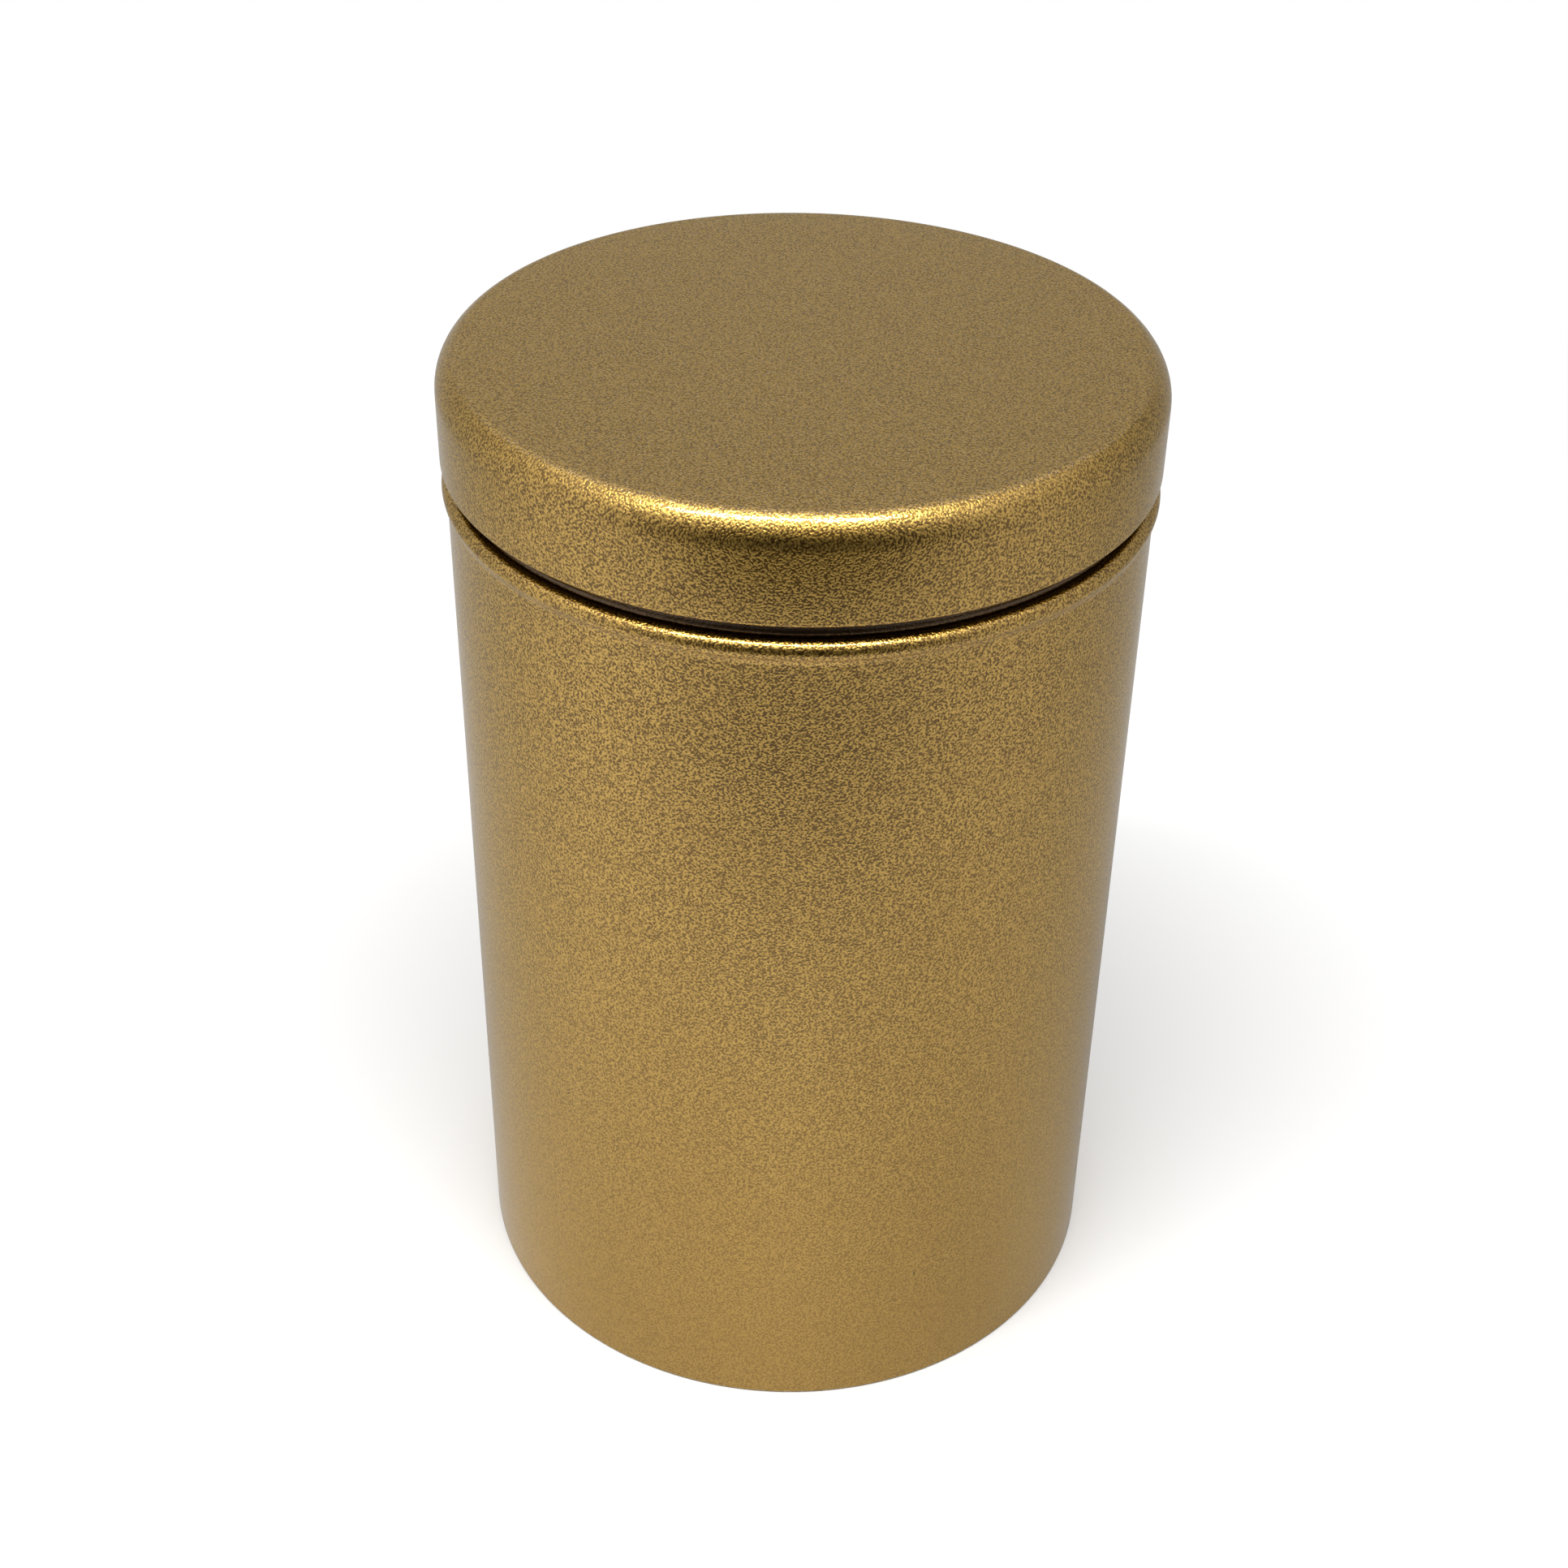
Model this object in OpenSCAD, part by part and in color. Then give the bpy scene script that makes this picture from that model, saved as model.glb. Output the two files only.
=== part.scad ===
// Round tin with a slip-on lid, in millimetres, +Z up.
// The origin is the centre of the floor circle that the tin stands on.
// Every piece is bent from thin plate: its painted face is drawn as one bent line,
// and the plate's other face is that line moved in by the plate's thickness.

/* [Overall] */
// Outside diameter of the body wall
body_d = 84; // [60:1:140]
// Height from the floor to the top of the lid
tin_h = 131.2; // [60:0.1:260]

/* [Plate] */
// Thickness of the body wall's plate
body_plate = 0.25; // [0.18:0.01:0.32]
// Thickness of the base pan's plate
base_plate = 0.25; // [0.18:0.01:0.32]
// Thickness of the lid's plate
lid_plate = 0.25; // [0.18:0.01:0.32]

/* [Lid] */
// Height of the lid, from its lower edge to its top
lid_h = 12.6; // [9:0.1:24]
// How far the lid's skirt stands out past the body wall, on each side
lid_overhang = 0.6; // [0.3:0.05:1]
// Outside radius of the round shoulder above the lid's skirt
lid_shoulder = 4.3; // [3:0.1:6]
// Outside radius of the tighter bend between the shoulder and the flat top
lid_edge = 1.8; // [1.4:0.1:3]
// Slope at which the shoulder gives way to that bend, in degrees from upright
lid_edge_slope = 55; // [40:1:70]
// Outside radius of the two bends of the flattened curl along the lid's lower edge
lid_curl = 0.5; // [0.4:0.05:0.8]
// Width of that curl, in from the skirt's outside
lid_curl_w = 1.9; // [1.4:0.05:2.4]

/* [Bead and neck] */
// Outside radius of the round of the bead
bead_r = 1.3; // [1:0.05:1.8]
// How far the bead stands out past the body wall
bead_proud = 0.6; // [0.3:0.05:1]
// Radius of the hollow between the bead and the neck
bead_hollow = 0.5; // [0.3:0.05:1]
// Radius of the wider hollow between the bead and the wall below it
under_hollow = 1.6; // [0.5:0.1:3]
// Open height between the bead and the lid's lower edge
shadow_h = 2; // [1:0.1:4]
// Outside radius of the curl round the mouth
mouth_curl = 0.95; // [0.6:0.05:1.2]

/* [Base] */
// Height of the wall's turned-in bottom edge
hem_h = 2.6; // [2:0.1:5]
// Inside radius of the hem's two bends
hem_bend = 0.1; // [0.05:0.05:0.3]
// Height of the base pan's outer ring above the hem's upper edge
base_lift = 1; // [0.8:0.1:6]
// Bend radius between the base pan's flange and its ring
base_bend = 1; // [0.6:0.05:1.2]
// Diameter at which the base pan steps down to its middle
base_middle_d = 68; // [30:1:72]
// Depth of that step
base_step = 0.6; // [0.2:0.1:1.2]
// Bend radius of that step
base_step_bend = 1; // [0.7:0.1:2]

/* [Side seam] */
// Width of the folded seam inside the wall
seam_w = 4; // [3:0.5:6]
// Layers of plate in the folded seam
seam_layers = 4; // [3:1:4]
// Width of the fine line that the seam leaves outside
seam_line_w = 0.2; // [0.1:0.05:0.4]
// Depth of that line
seam_line_depth = 0.1; // [0.05:0.01:0.15]

/* [Fits] */
// Clearance between the lid's curl and the neck, on each side
lid_clear = 0.15; // [0.1:0.01:0.3]
// Space between the mouth's curl and the inside of the lid's top
mouth_clear = 0.2; // [0.1:0.05:0.5]
// Clearance on each face of the base pan's flange inside the hem
hem_clear = 0.1; // [0.05:0.01:0.2]

/* [Hidden] */
$fn = 180;
arc_steps = 12;
overlap = 0.05;
gold_paint = [0.62, 0.5, 0.29];

// Body wall
body_r = body_d / 2;
hem_outer_bend = body_plate + hem_bend;
hem_w = 2 * body_plate + base_plate + 2 * hem_clear;

// Lid
lid_r = body_r + lid_overhang;
lid_z = tin_h - lid_h;
curl_outer_c = [lid_r - lid_curl, lid_z + lid_curl];
curl_inner_c = [lid_r - lid_curl_w + lid_curl, lid_z + lid_curl];
lid_edge_out = (lid_shoulder - lid_edge) * [cos(lid_edge_slope), sin(lid_edge_slope)];
lid_shoulder_c = [lid_r - lid_shoulder, tin_h - lid_edge - lid_edge_out[1]];
lid_edge_c = lid_shoulder_c + lid_edge_out;

// Bead and neck
neck_r = lid_r - lid_curl_w - lid_clear;
bead_c = [body_r + bead_proud - bead_r, lid_z - shadow_h - bead_r];
under_bead_c = hollow_centre(body_r, under_hollow, -1);
over_bead_c = hollow_centre(neck_r, bead_hollow, 1);

// Mouth: its curl lies just under the lid's flat top
mouth_c = [neck_r - mouth_curl, tin_h - lid_plate - mouth_clear - mouth_curl];

// Base pan
base_r = body_r - body_plate - hem_clear;
base_top = hem_h + base_lift + base_plate;
base_foot = body_plate + hem_clear;

// Points along an arc of radius r round c, between two angles
function arc(c, r, from, to) =
    [for (i = [0:arc_steps]) let (a = from + (to - from) * i / arc_steps) c + r * [cos(a), sin(a)]];

// Centre of a hollow that touches the bead and a wall of radius r, above the bead (1) or below it (-1)
function hollow_centre(r, hollow, side) =
    [r + hollow, bead_c[1] + side * sqrt((bead_r + hollow) ^ 2 - (r + hollow - bead_c[0]) ^ 2)];

// Direction from a to b, in degrees
function bearing(a, b) = atan2(b[1] - a[1], b[0] - a[0]);

// A smooth step in a panel, drawn from its outer edge at p towards the axis: down for a positive depth
function step(p, depth, bend) =
    let (
        side = sign(depth),
        turn = acos(1 - abs(depth) / (2 * bend)),
        run = 2 * bend * sin(turn),
        c1 = [p[0], p[1] - side * bend],
        c2 = [p[0] - run, p[1] - depth + side * bend]
    )
    concat(
        arc(c1, bend, 90 * side, (90 + turn) * side),
        arc(c2, bend, (turn - 90) * side, -90 * side)
    );

// The unit normal on the left of the way from a to b
function left_of(a, b) = [a[1] - b[1], b[0] - a[0]] / norm(b - a);

// A line without its repeated points
function distinct(line) =
    [for (i = [0:len(line) - 1]) if (i == 0 || norm(line[i] - line[max(i - 1, 0)]) > 1e-4) line[i]];

// A line moved to its left by t
function moved_in(line, t) =
    let (last = len(line) - 1)
    [
        for (i = [0:last])
        let (
            before = left_of(line[max(i - 1, 0)], line[max(i, 1)]),
            after = left_of(line[min(i, last - 1)], line[min(i + 1, last)])
        )
        line[i] + t * (before + after) / (1 + before * after)
    ];

// The outline of a plate of thickness t whose painted face follows the line
function plate(line, t) =
    let (face = distinct(line), back = moved_in(face, t))
    concat(face, [for (i = [len(back) - 1:-1:0]) back[i]]);

// Painted face of the wall: up from the hem's free edge, over the bead, the neck and the mouth's curl
function wall_line() = concat(
    [[body_r - hem_w, hem_h]],
    arc([body_r - hem_w + hem_outer_bend, hem_outer_bend], hem_outer_bend, 180, 270),
    arc([body_r - hem_outer_bend, hem_outer_bend], hem_outer_bend, 270, 360),
    arc(under_bead_c, under_hollow, 180, bearing(under_bead_c, bead_c)),
    arc(bead_c, bead_r, bearing(under_bead_c, bead_c) - 180, bearing(bead_c, over_bead_c)),
    arc(over_bead_c, bead_hollow, bearing(bead_c, over_bead_c) + 180, 180),
    arc(mouth_c, mouth_curl, 0, 270)
);

// Upper face of the base pan: up its flange, over the bend and in to the axis
function base_line() = concat(
    [[base_r, base_foot]],
    arc([base_r - base_bend, base_top - base_bend], base_bend, 0, 90),
    step([base_middle_d / 2, base_top], base_step, base_step_bend),
    [[0, base_top - base_step]]
);

// Painted face of the lid: round its curl, up the skirt, over the shoulder and in to the axis
function lid_line() = concat(
    arc(curl_inner_c, lid_curl, 90, 270),
    arc(curl_outer_c, lid_curl, 270, 360),
    arc(lid_shoulder_c, lid_shoulder, 0, lid_edge_slope),
    arc(lid_edge_c, lid_edge, lid_edge_slope, 90),
    [[0, tin_h]]
);

// Folded side seam at the back of the wall, between the base pan and the bead
module seam_fold() {
    fold_t = (seam_layers - 1) * body_plate;
    fold_z = base_top + hem_clear;
    fold_turn = 2 * asin(seam_w / body_d);
    translate([0, 0, fold_z])
        rotate([0, 0, 90 - fold_turn / 2])
            rotate_extrude(angle = fold_turn)
                translate([body_r - body_plate - fold_t, 0])
                    square([fold_t + overlap, under_bead_c[1] - fold_z]);
}

// Fine line down the outside of the wall where its two edges meet
module seam_line() {
    translate([-seam_line_w / 2, body_r - seam_line_depth, hem_outer_bend])
        cube([seam_line_w, seam_line_depth + overlap, under_bead_c[1] - hem_outer_bend]);
}

// Rolled wall with its hem, bead, neck, mouth curl and side seam
module body_wall() {
    color(gold_paint)
        difference() {
            union() {
                rotate_extrude() polygon(plate(wall_line(), body_plate));
                seam_fold();
            }
            seam_line();
        }
}

// Shallow base, held by its flange between the wall and its hem
module base_pan() {
    color(gold_paint) rotate_extrude() polygon(plate(base_line(), base_plate));
}

// Drawn lid that slips over the neck
module lid() {
    color(gold_paint) rotate_extrude() polygon(plate(lid_line(), lid_plate));
}

body_wall();
base_pan();
lid();
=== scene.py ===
"""A gold slip-lid tin: rolled wall, pressed base and drawn lid, each one bent sheet of tinplate."""

import math

import bmesh
import bpy
from mathutils import Matrix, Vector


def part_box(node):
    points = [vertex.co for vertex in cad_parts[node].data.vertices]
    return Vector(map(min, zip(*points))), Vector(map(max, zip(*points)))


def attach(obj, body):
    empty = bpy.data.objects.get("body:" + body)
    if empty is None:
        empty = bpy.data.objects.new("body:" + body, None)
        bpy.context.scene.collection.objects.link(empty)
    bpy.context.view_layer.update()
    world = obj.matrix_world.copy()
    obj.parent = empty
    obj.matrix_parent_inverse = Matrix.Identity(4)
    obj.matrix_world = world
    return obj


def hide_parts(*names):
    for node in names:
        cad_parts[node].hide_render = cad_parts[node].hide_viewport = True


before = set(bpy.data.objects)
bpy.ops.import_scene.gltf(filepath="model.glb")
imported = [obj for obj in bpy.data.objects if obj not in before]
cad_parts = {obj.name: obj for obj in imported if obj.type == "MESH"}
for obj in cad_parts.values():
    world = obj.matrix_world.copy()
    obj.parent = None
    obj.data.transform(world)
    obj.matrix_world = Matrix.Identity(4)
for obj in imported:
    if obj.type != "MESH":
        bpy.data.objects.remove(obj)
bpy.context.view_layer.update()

MM = 0.001

# Sizes of the tin, in metres
WALL_R = 42 * MM
PLATE = 0.25 * MM
LID_SHOULDER = 4.3 * MM
LID_EDGE = 1.8 * MM
LID_EDGE_SLOPE = 55
LID_CURL = 0.5 * MM
LID_CURL_W = 1.9 * MM
LID_CLEAR = 0.15 * MM
BEAD_R = 1.3 * MM
BEAD_HOLLOW = 0.5 * MM
UNDER_HOLLOW = 1.6 * MM
SHADOW_H = 2 * MM
MOUTH_CURL = 0.95 * MM
HEM_H = 2.6 * MM
HEM_BEND = 0.35 * MM
HEM_CLEAR = 0.1 * MM
HEM_W = 3 * PLATE + 2 * HEM_CLEAR
BASE_BEND = 1 * MM
BASE_MIDDLE_R = 34 * MM
BASE_STEP = 0.6 * MM
BASE_STEP_BEND = 1 * MM

# The side seam at the back
FOLD_HALF = 2 * MM
FOLD_EDGE = 0.12 * MM
FOLD_T = 3 * PLATE
LINE_HALF = 0.1 * MM
LINE_EDGE = 0.12 * MM
LINE_DEPTH = 0.1 * MM

# Colours of the finishes
GOLD_DEEP = (0.125, 0.062, 0.006, 1)
# Paler gold of the grain's light worms, a painted glint of the coat
GOLD_PALE_GLINT = (0.58, 0.36, 0.078, 1)
GOLD_SIDELONG = (0.95, 0.78, 0.42, 1)
GOLD_WARM = (0.36, 0.20, 0.036, 1)
# Painted shade: near-black brown for the neck in the shadowed gap under the lid
GAP_SHADE_COLOUR = (0.05, 0.022, 0.004, 1)
PIT_DARK = (0.06, 0.03, 0.01, 1)
TIN_DULL = (0.64, 0.63, 0.60, 1)
TIN_BRIGHT = (0.70, 0.69, 0.65, 1)

# Patterns and relief of the finishes
GRAIN_W = 0.25 * MM
GRAIN_EDGE = 0.22
GRAIN_AT_FOOT = 0.35
GRAIN_ON_TOP = 0.75
GRAIN_DEPTH = 0.022 * MM
COAT_DEPTH = 0.007 * MM
CLOUD_W = 9 * MM
PIT_APART = 9 * MM
RUB_W = 0.16 * MM
RUB_L = 6 * MM
CHIP_W = 1.3 * MM
MOTTLE_W = 5 * MM
ROLL_W = 0.25 * MM
ROLL_L = 25 * MM
ROLL_DEPTH = 0.008 * MM
RIPPLE_W = 0.5 * MM
ASKEW = (0.5, 0.8, 0.3)
TURNED = (1.1, 0.4, 0.9)

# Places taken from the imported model
wall_low, wall_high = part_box("body_wall")
base_low, base_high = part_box("base_pan")
lid_low, lid_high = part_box("lid")

LID_R = lid_high.x
TIN_H = lid_high.z
LID_Z = lid_low.z
MOUTH_Z = wall_high.z
BASE_R = base_high.x
BASE_TOP = base_high.z
NECK_R = LID_R - LID_CURL_W - LID_CLEAR
BEAD_C = (wall_high.x - BEAD_R, LID_Z - SHADOW_H - BEAD_R)
NECK_Z = LID_Z - SHADOW_H

TURNS = 192
ARC_STEP = math.radians(7.5)
SHARP_EDGE = math.radians(40)
POLE_R = 4 * MM
WALL_RINGS = 12
HAIR = 0.001 * MM

# The studio
FLOOR_R = 0.39
FLOOR_FADE = (0.12, 0.28)
UNDER_TIN_R = WALL_R - 2 * MM
LAMP_W = 0.9
LAMP_D = 0.14
LAMP_POWER = 13.5
LAMP_PLACE = (-0.08, -0.36, 1.1)
LENS = 54.92
EYE_PLACE = (0, -0.2555, 0.2481)
EYE_PAN = math.radians(0.303)
EYE_DOWN = math.radians(35.014)
EYE_ROLL = math.radians(1.053)


# ---------------------------------------------------------------- lines in (radius, height)


def arc(centre, radius, start, end):
    """Points along an arc, from one angle to another in degrees."""
    a, b = math.radians(start), math.radians(end)
    steps = max(4, round(abs(b - a) / ARC_STEP))
    angles = [a + (b - a) * i / steps for i in range(steps + 1)]
    return [(centre[0] + radius * math.cos(t), centre[1] + radius * math.sin(t)) for t in angles]


def bearing(a, b):
    """Direction from a to b, in degrees."""
    return math.degrees(math.atan2(b[1] - a[1], b[0] - a[0]))


def hollow_centre(radius, hollow, side):
    """Centre of a hollow that touches the bead and a wall, above the bead (1) or below it (-1)."""
    reach = (BEAD_R + hollow) ** 2 - (radius + hollow - BEAD_C[0]) ** 2
    return radius + hollow, BEAD_C[1] + side * math.sqrt(reach)


def step_down(radius, height, depth, bend):
    """A smooth step in a panel, from its outer edge towards the axis."""
    turn = math.degrees(math.acos(1 - depth / (2 * bend)))
    run = 2 * bend * math.sin(math.radians(turn))
    first = arc((radius, height - bend), bend, 90, 90 + turn)
    second = arc((radius - run, height - depth + bend), bend, turn - 90, -90)
    return first + second


def rings(start, stop, height, count):
    """Rings on a flat panel, so that its faces stay even."""
    return [(start + (stop - start) * i / count, height) for i in range(1, count + 1)]


def wall_line():
    """Painted face of the wall, from the hem's free edge up to the mouth's curl."""
    foot_r = WALL_R - HEM_W
    under = hollow_centre(WALL_R, UNDER_HOLLOW, -1)
    over = hollow_centre(NECK_R, BEAD_HOLLOW, 1)
    mouth = (NECK_R - MOUTH_CURL, MOUTH_Z - MOUTH_CURL)
    plain = [(WALL_R, HEM_BEND + (under[1] - HEM_BEND) * i / WALL_RINGS) for i in range(1, WALL_RINGS)]
    return (
        [(foot_r, HEM_H)]
        + arc((foot_r + HEM_BEND, HEM_BEND), HEM_BEND, 180, 270)
        + arc((WALL_R - HEM_BEND, HEM_BEND), HEM_BEND, 270, 360)
        + plain
        + arc(under, UNDER_HOLLOW, 180, bearing(under, BEAD_C))
        + arc(BEAD_C, BEAD_R, bearing(under, BEAD_C) - 180, bearing(BEAD_C, over))
        + arc(over, BEAD_HOLLOW, bearing(BEAD_C, over) + 180, 180)
        + arc(mouth, MOUTH_CURL, 0, 270)
    )


def base_line():
    """Upper face of the base: up its flange, over the bend and in to the middle."""
    middle = step_down(BASE_MIDDLE_R, BASE_TOP, BASE_STEP, BASE_STEP_BEND)
    return (
        [(BASE_R, base_low.z)]
        + arc((BASE_R - BASE_BEND, BASE_TOP - BASE_BEND), BASE_BEND, 0, 90)
        + rings(BASE_R - BASE_BEND, BASE_MIDDLE_R, BASE_TOP, 3)
        + middle
        + rings(middle[-1][0], POLE_R, middle[-1][1], 5)
    )


def lid_line():
    """Painted face of the lid: round its curl, up the skirt, over the shoulder and in to the middle."""
    curl_z = LID_Z + LID_CURL
    slope = math.radians(LID_EDGE_SLOPE)
    edge_out = LID_SHOULDER - LID_EDGE
    shoulder = (LID_R - LID_SHOULDER, TIN_H - LID_EDGE - edge_out * math.sin(slope))
    edge = (shoulder[0] + edge_out * math.cos(slope), TIN_H - LID_EDGE)
    return (
        arc((LID_R - LID_CURL_W + LID_CURL, curl_z), LID_CURL, 90, 270)
        + arc((LID_R - LID_CURL, curl_z), LID_CURL, 270, 360)
        + arc(shoulder, LID_SHOULDER, 0, LID_EDGE_SLOPE)
        + arc(edge, LID_EDGE, LID_EDGE_SLOPE, 90)
        + rings(edge[0], POLE_R, TIN_H, 6)
    )


# ---------------------------------------------------------------- sheet work


def distinct(line):
    """The line without its repeated points."""
    kept = [line[0]]
    for point in line[1:]:
        if math.dist(point, kept[-1]) > 1e-7:
            kept.append(point)
    return kept


def turned_sheet(name, line, closed):
    """A sheet turned round the tin's axis: one ring extruded along the line, and closed in the middle."""
    (radius, height), *others = distinct(line)
    bpy.ops.object.select_all(action="DESELECT")
    bpy.ops.mesh.primitive_circle_add(vertices=TURNS, radius=radius)
    piece = bpy.context.object
    piece.name = piece.data.name = name
    bpy.ops.object.mode_set(mode="EDIT")
    bpy.ops.mesh.select_all(action="SELECT")
    bpy.ops.transform.translate(value=(0, 0, height))
    for next_radius, next_height in others:
        rise = {"value": (0, 0, next_height - height)}
        bpy.ops.mesh.extrude_region_move(TRANSFORM_OT_translate=rise)
        spread = next_radius / radius
        bpy.ops.transform.resize(value=(spread, spread, 1), center_override=(0, 0, next_height))
        radius, height = next_radius, next_height
    if closed:
        bpy.ops.mesh.extrude_region_move()
        bpy.ops.mesh.merge(type="CENTER")
    bpy.ops.mesh.select_all(action="SELECT")
    bpy.ops.mesh.normals_make_consistent(inside=False)
    bpy.ops.object.mode_set(mode="OBJECT")
    return piece


def thicken(piece, front, back):
    """Gives the sheet its thickness behind its drawn face, with one finish on each side."""
    piece.data.materials.append(front)
    piece.data.materials.append(back)
    plate = piece.modifiers.new("plate", "SOLIDIFY")
    plate.thickness = PLATE
    plate.offset = -1
    plate.use_even_offset = True
    plate.material_offset = 1
    plate.material_offset_rim = 1
    bpy.context.view_layer.objects.active = piece
    bpy.ops.object.modifier_apply(modifier=plate.name)


def smooth(piece):
    bpy.ops.object.select_all(action="DESELECT")
    piece.select_set(True)
    bpy.context.view_layer.objects.active = piece
    bpy.ops.object.shade_smooth_by_angle(angle=SHARP_EDGE)


def cut_back(piece, columns, heights):
    """Cuts the back of the wall along upright planes at each x and level planes at each height."""
    bpy.ops.object.select_all(action="DESELECT")
    piece.select_set(True)
    bpy.context.view_layer.objects.active = piece
    bpy.ops.object.mode_set(mode="EDIT")
    planes = [((x, 0, 0), (1, 0, 0)) for x in columns] + [((0, 0, z), (0, 0, 1)) for z in heights]
    for point, normal in planes:
        pick(piece, lambda co: co.y > 0 and abs(co.x) < 3 * FOLD_HALF)
        bpy.ops.mesh.bisect(plane_co=point, plane_no=normal)
    bpy.ops.object.mode_set(mode="OBJECT")


def pick(piece, wanted):
    """Selects the vertices that are wanted, and no others, in edit mode."""
    bpy.ops.mesh.select_mode(type="VERT")
    bpy.ops.mesh.select_all(action="DESELECT")
    mesh = bmesh.from_edit_mesh(piece.data)
    for vertex in mesh.verts:
        vertex.select_set(wanted(vertex.co))
    mesh.select_flush_mode()
    bmesh.update_edit_mesh(piece.data)


def push(piece, wanted, depth):
    """Moves the wanted vertices forward from the back of the tin, by a depth."""
    bpy.context.view_layer.objects.active = piece
    bpy.ops.object.mode_set(mode="EDIT")
    pick(piece, wanted)
    bpy.ops.transform.translate(value=(0, -depth, 0))
    bpy.ops.object.mode_set(mode="OBJECT")


# ---------------------------------------------------------------- finishes


class Finish:
    """A material in the making: its shader, and short ways to add nodes to it."""

    def __init__(self, name):
        self.material = bpy.data.materials.new(name)
        self.material.use_nodes = True
        self.tree = self.material.node_tree
        self.shader = self.tree.nodes["Principled BSDF"]
        self.place = self.tree.nodes.new("ShaderNodeTexCoord").outputs["Object"]
        self.askew = self.turn(ASKEW)

    def set(self, **values):
        for key, value in values.items():
            self.shader.inputs[key.replace("_", " ")].default_value = value

    def add(self, kind, inputs=None, **settings):
        made = self.tree.nodes.new("ShaderNode" + kind)
        for key, value in settings.items():
            setattr(made, key, value)
        for key, value in (inputs or {}).items():
            if isinstance(value, bpy.types.NodeSocket):
                self.tree.links.new(value, made.inputs[key])
            else:
                made.inputs[key].default_value = value
        return made

    def turn(self, angles):
        """The piece's own coordinates, turned so that a pattern doesn't line up with its faces."""
        return self.add("Mapping", {"Vector": self.place, "Rotation": angles}).outputs["Vector"]

    def noise(self, size, detail=0, place=None):
        """Noise whose lumps are about as wide as size."""
        inputs = {"Vector": place or self.askew, "Scale": 1 / size, "Detail": detail}
        return self.add("TexNoise", inputs).outputs["Fac"]

    def streaks(self, size, length):
        """Noise drawn out along the tin's height."""
        squeeze = (1, 1, size / length)
        place = self.add("VectorMath", {0: self.place, 1: squeeze}, operation="MULTIPLY").outputs["Vector"]
        return self.noise(size, detail=1, place=place)

    def worms(self, size, edge):
        """Winding ridges and hollows of one width, from 1 down to 0."""
        both = self.math("ADD", self.noise(size), self.noise(size, place=self.turn(TURNED)))
        return self.spread(both, 1 - edge, 1 + edge)

    def spread(self, value, low, high, to_low=0, to_high=1):
        """Maps a value from one range to another, and stops at its ends."""
        inputs = {"Value": value, "From Min": low, "From Max": high, "To Min": to_low, "To Max": to_high}
        return self.add("MapRange", inputs).outputs["Result"]

    def math(self, operation, a, b=0):
        return self.add("Math", {0: a, 1: b}, operation=operation).outputs["Value"]

    def blend(self, share, a, b):
        """A colour between a and b."""
        mix = self.add("Mix", data_type="RGBA")
        for key, value in ((0, share), (6, a), (7, b)):
            if isinstance(value, bpy.types.NodeSocket):
                self.tree.links.new(value, mix.inputs[key])
            else:
                mix.inputs[key].default_value = value
        return mix.outputs[2]

    def drive(self, key, value):
        self.tree.links.new(value, self.shader.inputs[key])

    def bump(self, socket, height, depth):
        """Relief of a height from 0 to 1, this deep, on one layer of the finish."""
        relief = self.add("Bump", {"Height": height, "Strength": 1, "Distance": depth})
        self.drive(socket, relief.outputs["Normal"])


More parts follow.
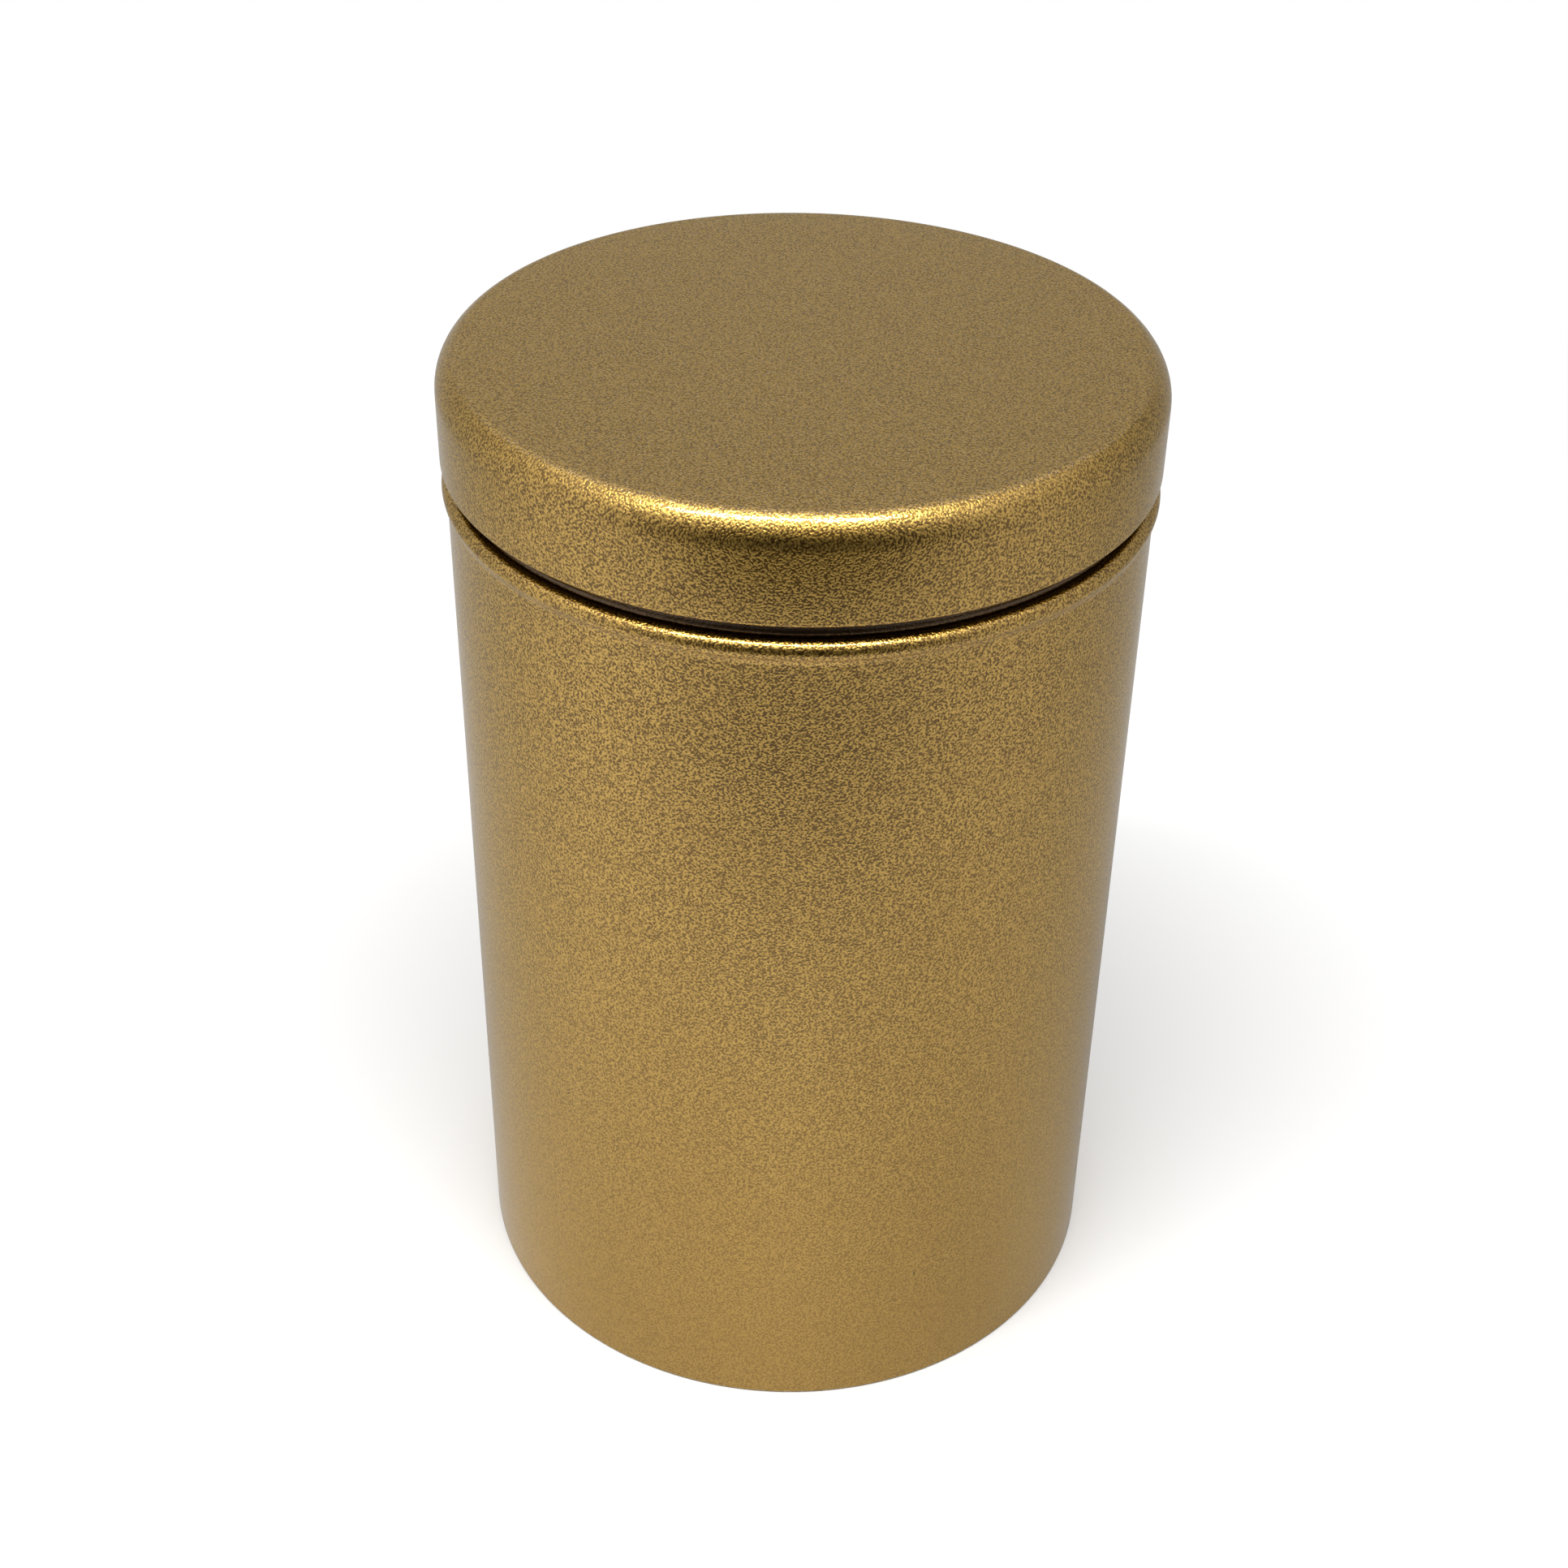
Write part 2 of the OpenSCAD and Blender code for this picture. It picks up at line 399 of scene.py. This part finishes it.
def gold_coat():
    """Glossy clear coat over metallic gold, both puckered into fine worm-like grain."""
    finish = Finish("gold_coat")
    finish.set(Metallic=1, Specular_Tint=GOLD_SIDELONG, Coat_Weight=0.75, Coat_Roughness=0.06, Coat_IOR=1.5)
    way = finish.add("SeparateXYZ", {0: finish.place}).outputs
    squares = [finish.math("POWER", way[axis], 2) for axis in "XY"]
    radius = finish.math("SQRT", finish.math("ADD", *squares))

    grain = finish.worms(GRAIN_W, GRAIN_EDGE)
    cloud = finish.noise(CLOUD_W, detail=3)
    cells = finish.add("TexVoronoi", {"Vector": finish.place, "Scale": 1 / PIT_APART})
    pits = finish.spread(cells.outputs["Distance"], 0.01, 0.025, 1, 0)

    # The grain's colour, with its painted glint, is faint at the foot and a little calmer on the flat top
    strength = finish.spread(way["Z"], 10 * MM, 100 * MM, GRAIN_AT_FOOT, 1)
    strength = finish.math("MULTIPLY", strength, finish.spread(way["Z"], 129 * MM, TIN_H, 1, GRAIN_ON_TOP))
    contrast = finish.math("MULTIPLY", finish.math("SUBTRACT", grain, 0.5), strength)
    # Painted glint: the grain's light worms are a paler gold standing in for the coat's glints on the
    # ridges, and the dark worms are the deep gold
    gold = finish.blend(finish.math("ADD", contrast, 0.5), GOLD_DEEP, GOLD_PALE_GLINT)
    gold = finish.blend(finish.spread(cloud, 0.35, 0.7, 0, 0.12), gold, GOLD_WARM)
    gold = finish.blend(pits, gold, PIT_DARK)

    # Rubbed streaks where the lid slides on the neck, chips along the foot, and painted shade on the neck
    # in the gap under the lid's skirt
    rubbed = finish.spread(finish.streaks(RUB_W, RUB_L), 0.56, 0.68)
    on_neck = finish.math("MULTIPLY", finish.spread(radius, NECK_R, NECK_R + 0.2 * MM, 1, 0),
                          finish.spread(way["Z"], LID_Z, LID_Z + 1 * MM))
    on_foot = finish.math("MULTIPLY", finish.spread(way["Z"], 0.05 * MM, 0.45 * MM, 1, 0),
                          finish.spread(finish.noise(CHIP_W, detail=3), 0.5, 0.62))
    in_groove = finish.math("MULTIPLY", finish.spread(radius, NECK_R + 0.4 * MM, NECK_R + 1.2 * MM, 1, 0),
                            finish.spread(way["Z"], NECK_Z - 0.9 * MM, NECK_Z, 0, 1))
    under_skirt = finish.spread(way["Z"], LID_Z, LID_Z + 1 * MM, 1, 0)
    # Painted shade: the neck between the bead and the lid's skirt is darkened near to black, standing in
    # for the gap's shadow
    gap_shade = finish.math("MULTIPLY", in_groove, under_skirt)
    gold = finish.blend(finish.math("MULTIPLY", gap_shade, 0.95), gold, GAP_SHADE_COLOUR)
    worn = finish.math("MAXIMUM", finish.math("MULTIPLY", on_neck, rubbed), on_foot)
    gold = finish.blend(finish.math("MULTIPLY", worn, 0.35), gold, TIN_BRIGHT)
    finish.drive("Base Color", gold)

    smear = finish.spread(cloud, 0.3, 0.7, 0.29, 0.32)
    finish.drive("Roughness", finish.math("ADD", smear, finish.math("MULTIPLY", worn, 0.12)))
    height = finish.math("SUBTRACT", grain, pits)
    finish.bump("Coat Normal", height, COAT_DEPTH)
    finish.bump("Normal", height, GRAIN_DEPTH)
    return finish.material


def bare_plate():
    """Clear-lacquered tinplate inside the tin, with faint rolling lines and a soft mottle."""
    finish = Finish("bare_plate")
    finish.set(Metallic=1, Coat_Weight=0.3, Coat_Roughness=0.15)
    mottle = finish.noise(MOTTLE_W, detail=4)
    lines = finish.streaks(ROLL_W, ROLL_L)
    tone = finish.math("ADD", finish.math("MULTIPLY", mottle, 0.6), finish.math("MULTIPLY", lines, 0.4))
    finish.drive("Base Color", finish.blend(finish.spread(tone, 0.25, 0.75), TIN_DULL, TIN_BRIGHT))
    finish.drive("Roughness", finish.spread(mottle, 0.3, 0.7, 0.27, 0.3))
    ripple = finish.noise(RIPPLE_W, detail=2)
    finish.bump("Normal", finish.math("ADD", lines, ripple), ROLL_DEPTH)
    return finish.material


# ---------------------------------------------------------------- the tin


gold = gold_coat()
tinplate = bare_plate()

FOLD_Z = BASE_TOP + HEM_CLEAR
FOLD_TOP = hollow_centre(WALL_R, UNDER_HOLLOW, -1)[1]


def in_fold(co):
    """True on the inner face of the wall where the folded seam stands in from it."""
    inner = math.hypot(co.x, co.y) < WALL_R - 0.6 * PLATE
    level = FOLD_Z + FOLD_EDGE / 2 < co.z < FOLD_TOP - FOLD_EDGE / 2
    return co.y > 0 and abs(co.x) < FOLD_HALF + HAIR and inner and level


def on_line(co):
    """True on the fine line that the seam leaves on the outside of the wall."""
    return co.y > 0 and abs(co.x) < LINE_HALF + HAIR and co.z < FOLD_TOP


wall = turned_sheet("tin_wall", wall_line(), closed=False)
edges = (LINE_HALF, LINE_HALF + LINE_EDGE, FOLD_HALF, FOLD_HALF + FOLD_EDGE)
columns = [side * edge for edge in edges for side in (-1, 1)]
cut_back(wall, columns, [FOLD_Z, FOLD_Z + FOLD_EDGE, FOLD_TOP - FOLD_EDGE, FOLD_TOP])
push(wall, on_line, LINE_DEPTH)
thicken(wall, gold, tinplate)
push(wall, in_fold, FOLD_T)
smooth(wall)
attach(wall, "tin")
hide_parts("body_wall")

base = turned_sheet("tin_base", base_line(), closed=True)
thicken(base, tinplate, gold)
smooth(base)
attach(base, "tin")
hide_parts("base_pan")

lid = turned_sheet("tin_lid", lid_line(), closed=True)
thicken(lid, gold, tinplate)
smooth(lid)
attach(lid, "lid")
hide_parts("lid")


# ---------------------------------------------------------------- studio


def studio():
    """A pale table top, a wide soft light above it and the dim end of the room behind the camera."""
    bpy.ops.object.select_all(action="DESELECT")
    bpy.ops.mesh.primitive_circle_add(vertices=96, radius=FLOOR_R, fill_type="NGON")
    floor = bpy.context.object
    floor.name = "floor"
    floor.data.materials.append(floor_painted_shade())

    soft = bpy.data.lights.new("top_light", "AREA")
    soft.shape = "RECTANGLE"
    soft.size = LAMP_W
    soft.size_y = LAMP_D
    soft.energy = LAMP_POWER
    lamp = bpy.data.objects.new("top_light", soft)
    lamp.location = LAMP_PLACE
    bpy.context.scene.collection.objects.link(lamp)
    bpy.context.scene.world = room()
    bpy.context.scene.view_settings.view_transform = "Standard"


def floor_painted_shade():
    """Pale matt paint that fades out towards the rim, open under the tin and clear from below, with painted
    shade that the tin's reflections see.
    """
    finish = Finish("floor_painted_shade")
    finish.set(Roughness=0.9)
    reach = finish.add("VectorMath", {0: finish.place}, operation="LENGTH").outputs["Value"]
    way = finish.add("VectorMath", {0: finish.place}, operation="NORMALIZE").outputs["Vector"]
    way = finish.add("SeparateXYZ", {0: way}).outputs
    seen = finish.add("LightPath").outputs["Is Camera Ray"]
    # Painted shade for the tin's reflections: darker behind the tin, a little darker close to it and
    # towards both sides, most at the right; the camera sees the floor evenly pale
    depth = finish.spread(way["Y"], -0.5, 0.7, 0.57, 0.355)
    level = finish.math("MULTIPLY", depth, finish.spread(reach, 0.045, 0.12, 0.96, 1.04))
    right_shade = finish.spread(way["X"], 0, 0.7, 1, 0.78)
    left_shade = finish.spread(way["X"], -0.7, 0, 0.94, 1)
    level = finish.math("MULTIPLY", level, finish.math("MINIMUM", right_shade, left_shade))
    level = finish.math("MAXIMUM", level, finish.math("MULTIPLY", seen, 0.66))
    finish.drive("Base Color", finish.blend(level, (0, 0, 0, 1), (1, 1, 1, 1)))
    stretch = finish.spread(way["Y"], -1, -0.75, 1, 0.78)
    fade = finish.spread(finish.math("MULTIPLY", reach, stretch), *FLOOR_FADE)
    below = finish.add("NewGeometry").outputs["Backfacing"]
    clear = finish.add("BsdfTransparent").outputs["BSDF"]
    under_tin = finish.spread(reach, UNDER_TIN_R, UNDER_TIN_R + 0.5 * MM, 1, 0)
    share = finish.math("MAXIMUM", finish.math("MAXIMUM", fade, below), under_tin)
    both = finish.add("MixShader", {0: share, 1: finish.shader.outputs["BSDF"], 2: clear})
    finish.tree.links.new(both.outputs["Shader"], finish.tree.nodes["Material Output"].inputs["Surface"])
    return finish.material


def room():
    """The room that the tin reflects. The camera itself sees only a white backdrop."""
    world = bpy.data.worlds.new("room")
    world.use_nodes = True
    tree = world.node_tree
    nodes, links = tree.nodes, tree.links

    def add(kind, inputs, **settings):
        made = nodes.new("ShaderNode" + kind)
        for key, value in settings.items():
            setattr(made, key, value)
        for key, value in inputs.items():
            if isinstance(value, bpy.types.NodeSocket):
                links.new(value, made.inputs[key])
            else:
                made.inputs[key].default_value = value
        return made

    def between(value, low, high, to_low, to_high):
        inputs = {"Value": value, "From Min": low, "From Max": high, "To Min": to_low, "To Max": to_high}
        return add("MapRange", inputs, interpolation_type="SMOOTHSTEP").outputs["Result"]

    def times(a, b):
        return add("Math", {0: a, 1: b}, operation="MULTIPLY").outputs["Value"]

    way = add("SeparateXYZ", {0: nodes.new("ShaderNodeTexCoord").outputs["Generated"]}).outputs
    ceiling = between(way["Z"], 0.45, 0.8, 0.94, 1.6)
    low = between(way["Z"], -0.5, 0.1, 0.9, 1)
    front = between(way["Y"], -1, -0.4, 0.06, 1)
    back = between(way["Y"], -0.3, 0.6, 1, 0.55)
    side = between(way["X"], -1, 1, 1.1, 0.85)
    level = times(times(times(ceiling, low), times(front, side)), back)
    seen = nodes.new("ShaderNodeLightPath").outputs["Is Camera Ray"]
    glow = add("Mix", {0: seen, 2: level, 3: 1.0}, data_type="FLOAT").outputs[0]
    links.new(glow, nodes["Background"].inputs["Strength"])
    nodes["Background"].inputs["Color"].default_value = (1, 1, 1, 1)
    return world


def camera():
    """The camera stands in front of the tin and looks down on it."""
    lens = bpy.data.cameras.new("camera")
    lens.lens = LENS
    lens.sensor_width = 36
    lens.clip_start = 0.01
    eye = bpy.data.objects.new("camera", lens)
    bpy.context.scene.collection.objects.link(eye)
    turn = Matrix.Rotation(EYE_PAN, 4, "Z")
    tilt = Matrix.Rotation(math.pi / 2 - EYE_DOWN, 4, "X")
    roll = Matrix.Rotation(EYE_ROLL, 4, "Z")
    eye.matrix_world = Matrix.Translation(EYE_PLACE) @ turn @ tilt @ roll
    bpy.context.scene.camera = eye


studio()
camera()
